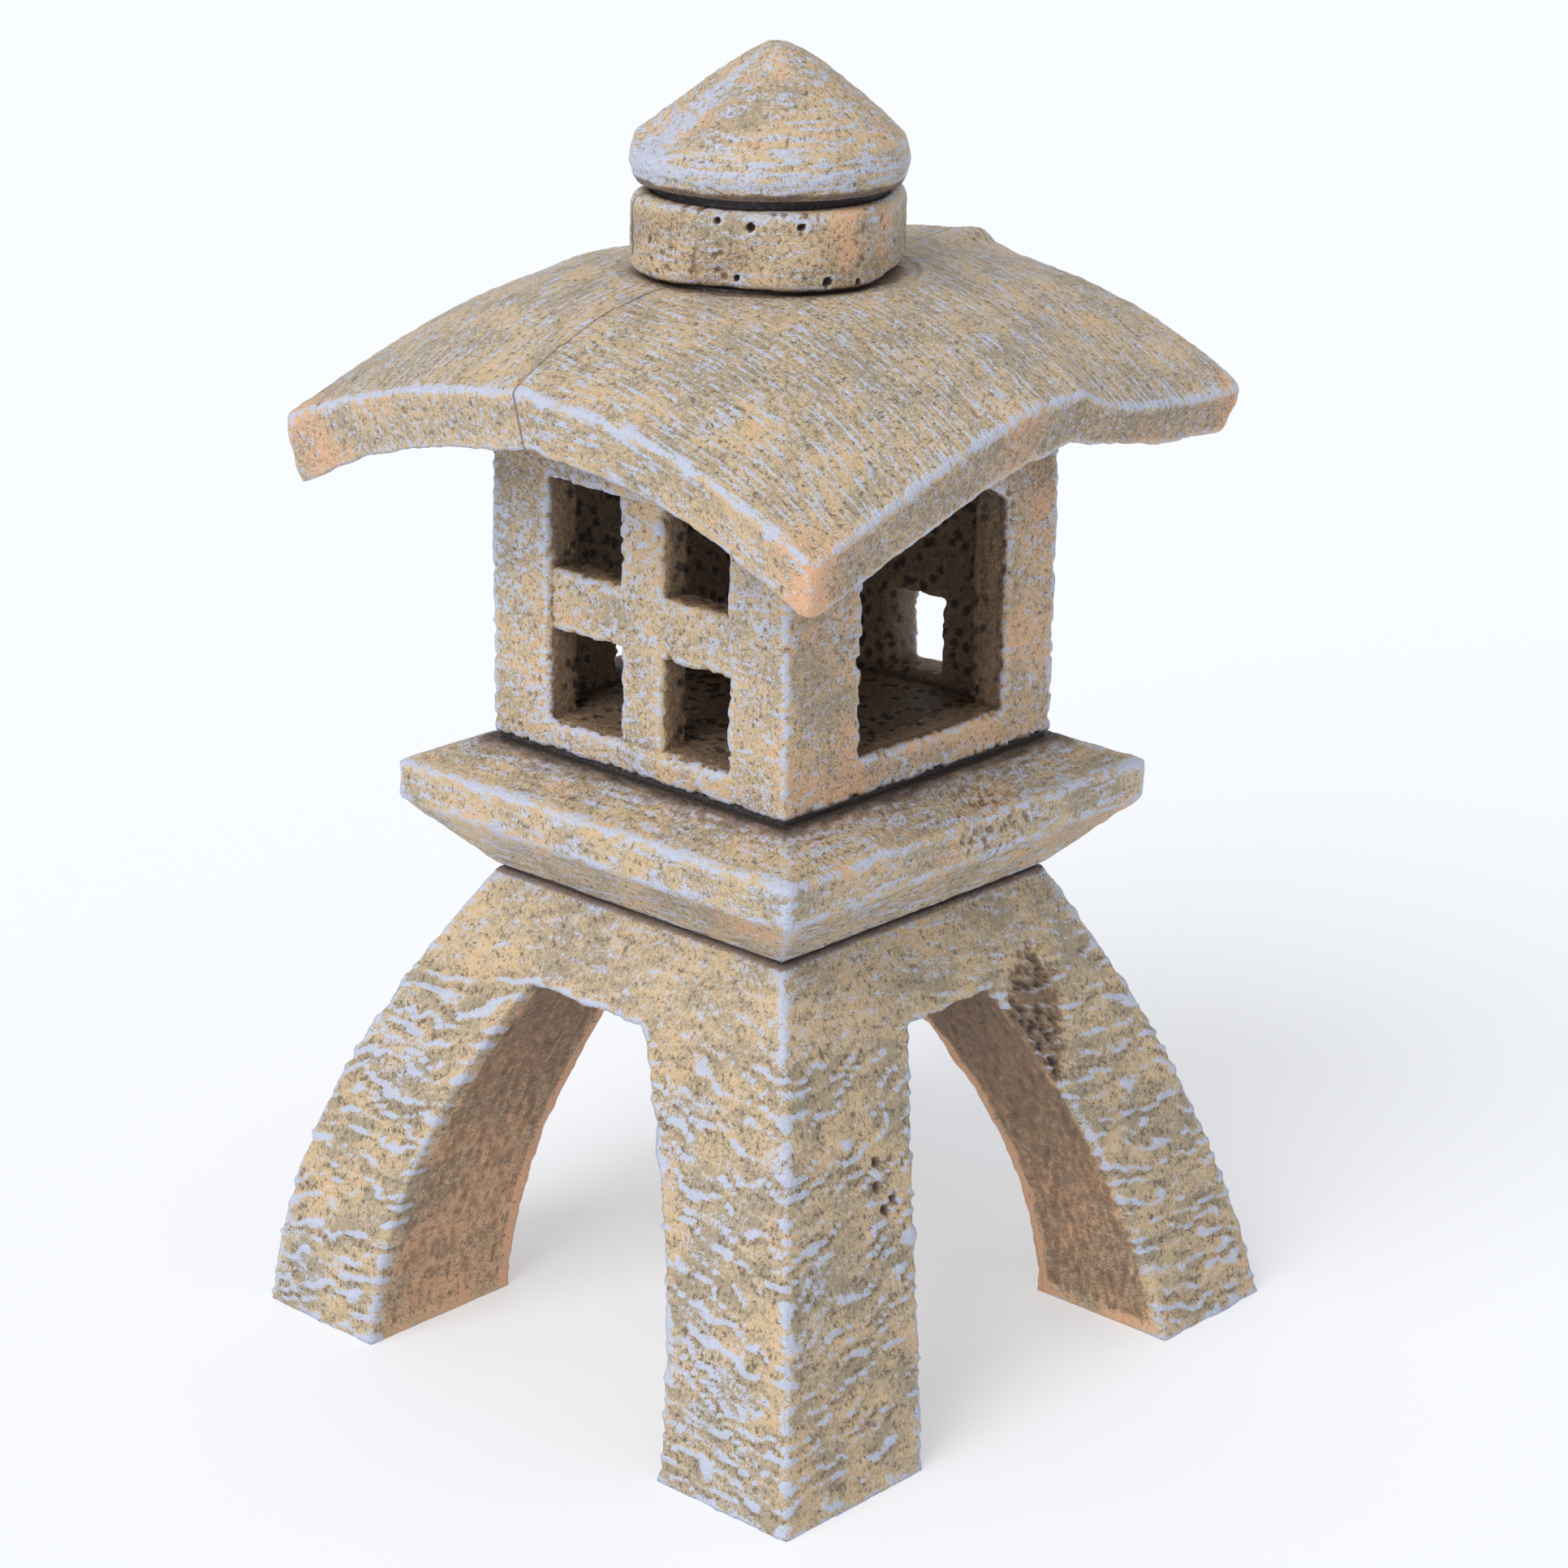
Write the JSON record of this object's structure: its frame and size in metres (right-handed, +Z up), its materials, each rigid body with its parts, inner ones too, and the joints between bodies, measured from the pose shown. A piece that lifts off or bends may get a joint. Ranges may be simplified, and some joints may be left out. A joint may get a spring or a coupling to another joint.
{
  "type": "stone lantern",
  "caption": "Small cast-stone garden lantern: arched legs, square platform, fire chamber with a lattice, a portal and two windows, vaulted roof and conical finial, stacked on dowels.",
  "frame": {"origin": "on the ground, at the centre of the four feet", "axes": "+Z up, -Y towards the portal at the front, -X towards the lattice"},
  "size_m": [0.1674, 0.1674, 0.3],
  "materials": {
    "stone_base": "dry-brushed cast stone, chiselled",
    "stone_platform": "dry-brushed cast stone",
    "stone_chamber": "dry-brushed cast stone, sandy",
    "stone_roof": "dry-brushed cast stone, brushed grain",
    "stone_finial": "dry-brushed cast stone, sandy",
    "setting_compound": "dull, dark grey, never fully hard",
    "dowel_steel": "plain drawn bar"
  },
  "bodies": {
    "legs": {"leg_base": "stone_base", "platform_bed": "setting_compound", "platform_dowels": "dowel_steel"},
    "platform": {"platform": "stone_platform", "chamber_bed": "setting_compound", "chamber_dowels": "dowel_steel"},
    "chamber": {"fire_chamber": "stone_chamber", "roof_bed": "setting_compound", "roof_dowels": "dowel_steel"},
    "roof": {"roof": "stone_roof", "collar_bed": "setting_compound", "collar_dowel": "dowel_steel"},
    "collar": {"finial_collar": "stone_finial", "cap_bed": "setting_compound", "cap_dowel": "dowel_steel"},
    "cap": {"finial_cap": "stone_finial"}
  },
  "joints": [
    {"name": "platform_lift", "type": "slide", "parent": "legs", "child": "platform", "axis": [0, 0, 1], "range_m": [0, 0.03]},
    {"name": "chamber_lift", "type": "slide", "parent": "platform", "child": "chamber", "axis": [0, 0, 1], "range_m": [0, 0.03]},
    {"name": "roof_lift", "type": "slide", "parent": "chamber", "child": "roof", "axis": [0, 0, 1], "range_m": [0, 0.06]},
    {"name": "collar_lift", "type": "slide", "parent": "roof", "child": "collar", "axis": [0, 0, 1], "range_m": [0, 0.03]},
    {"name": "cap_lift", "type": "slide", "parent": "collar", "child": "cap", "axis": [0, 0, 1], "range_m": [0, 0.03]}
  ]
}
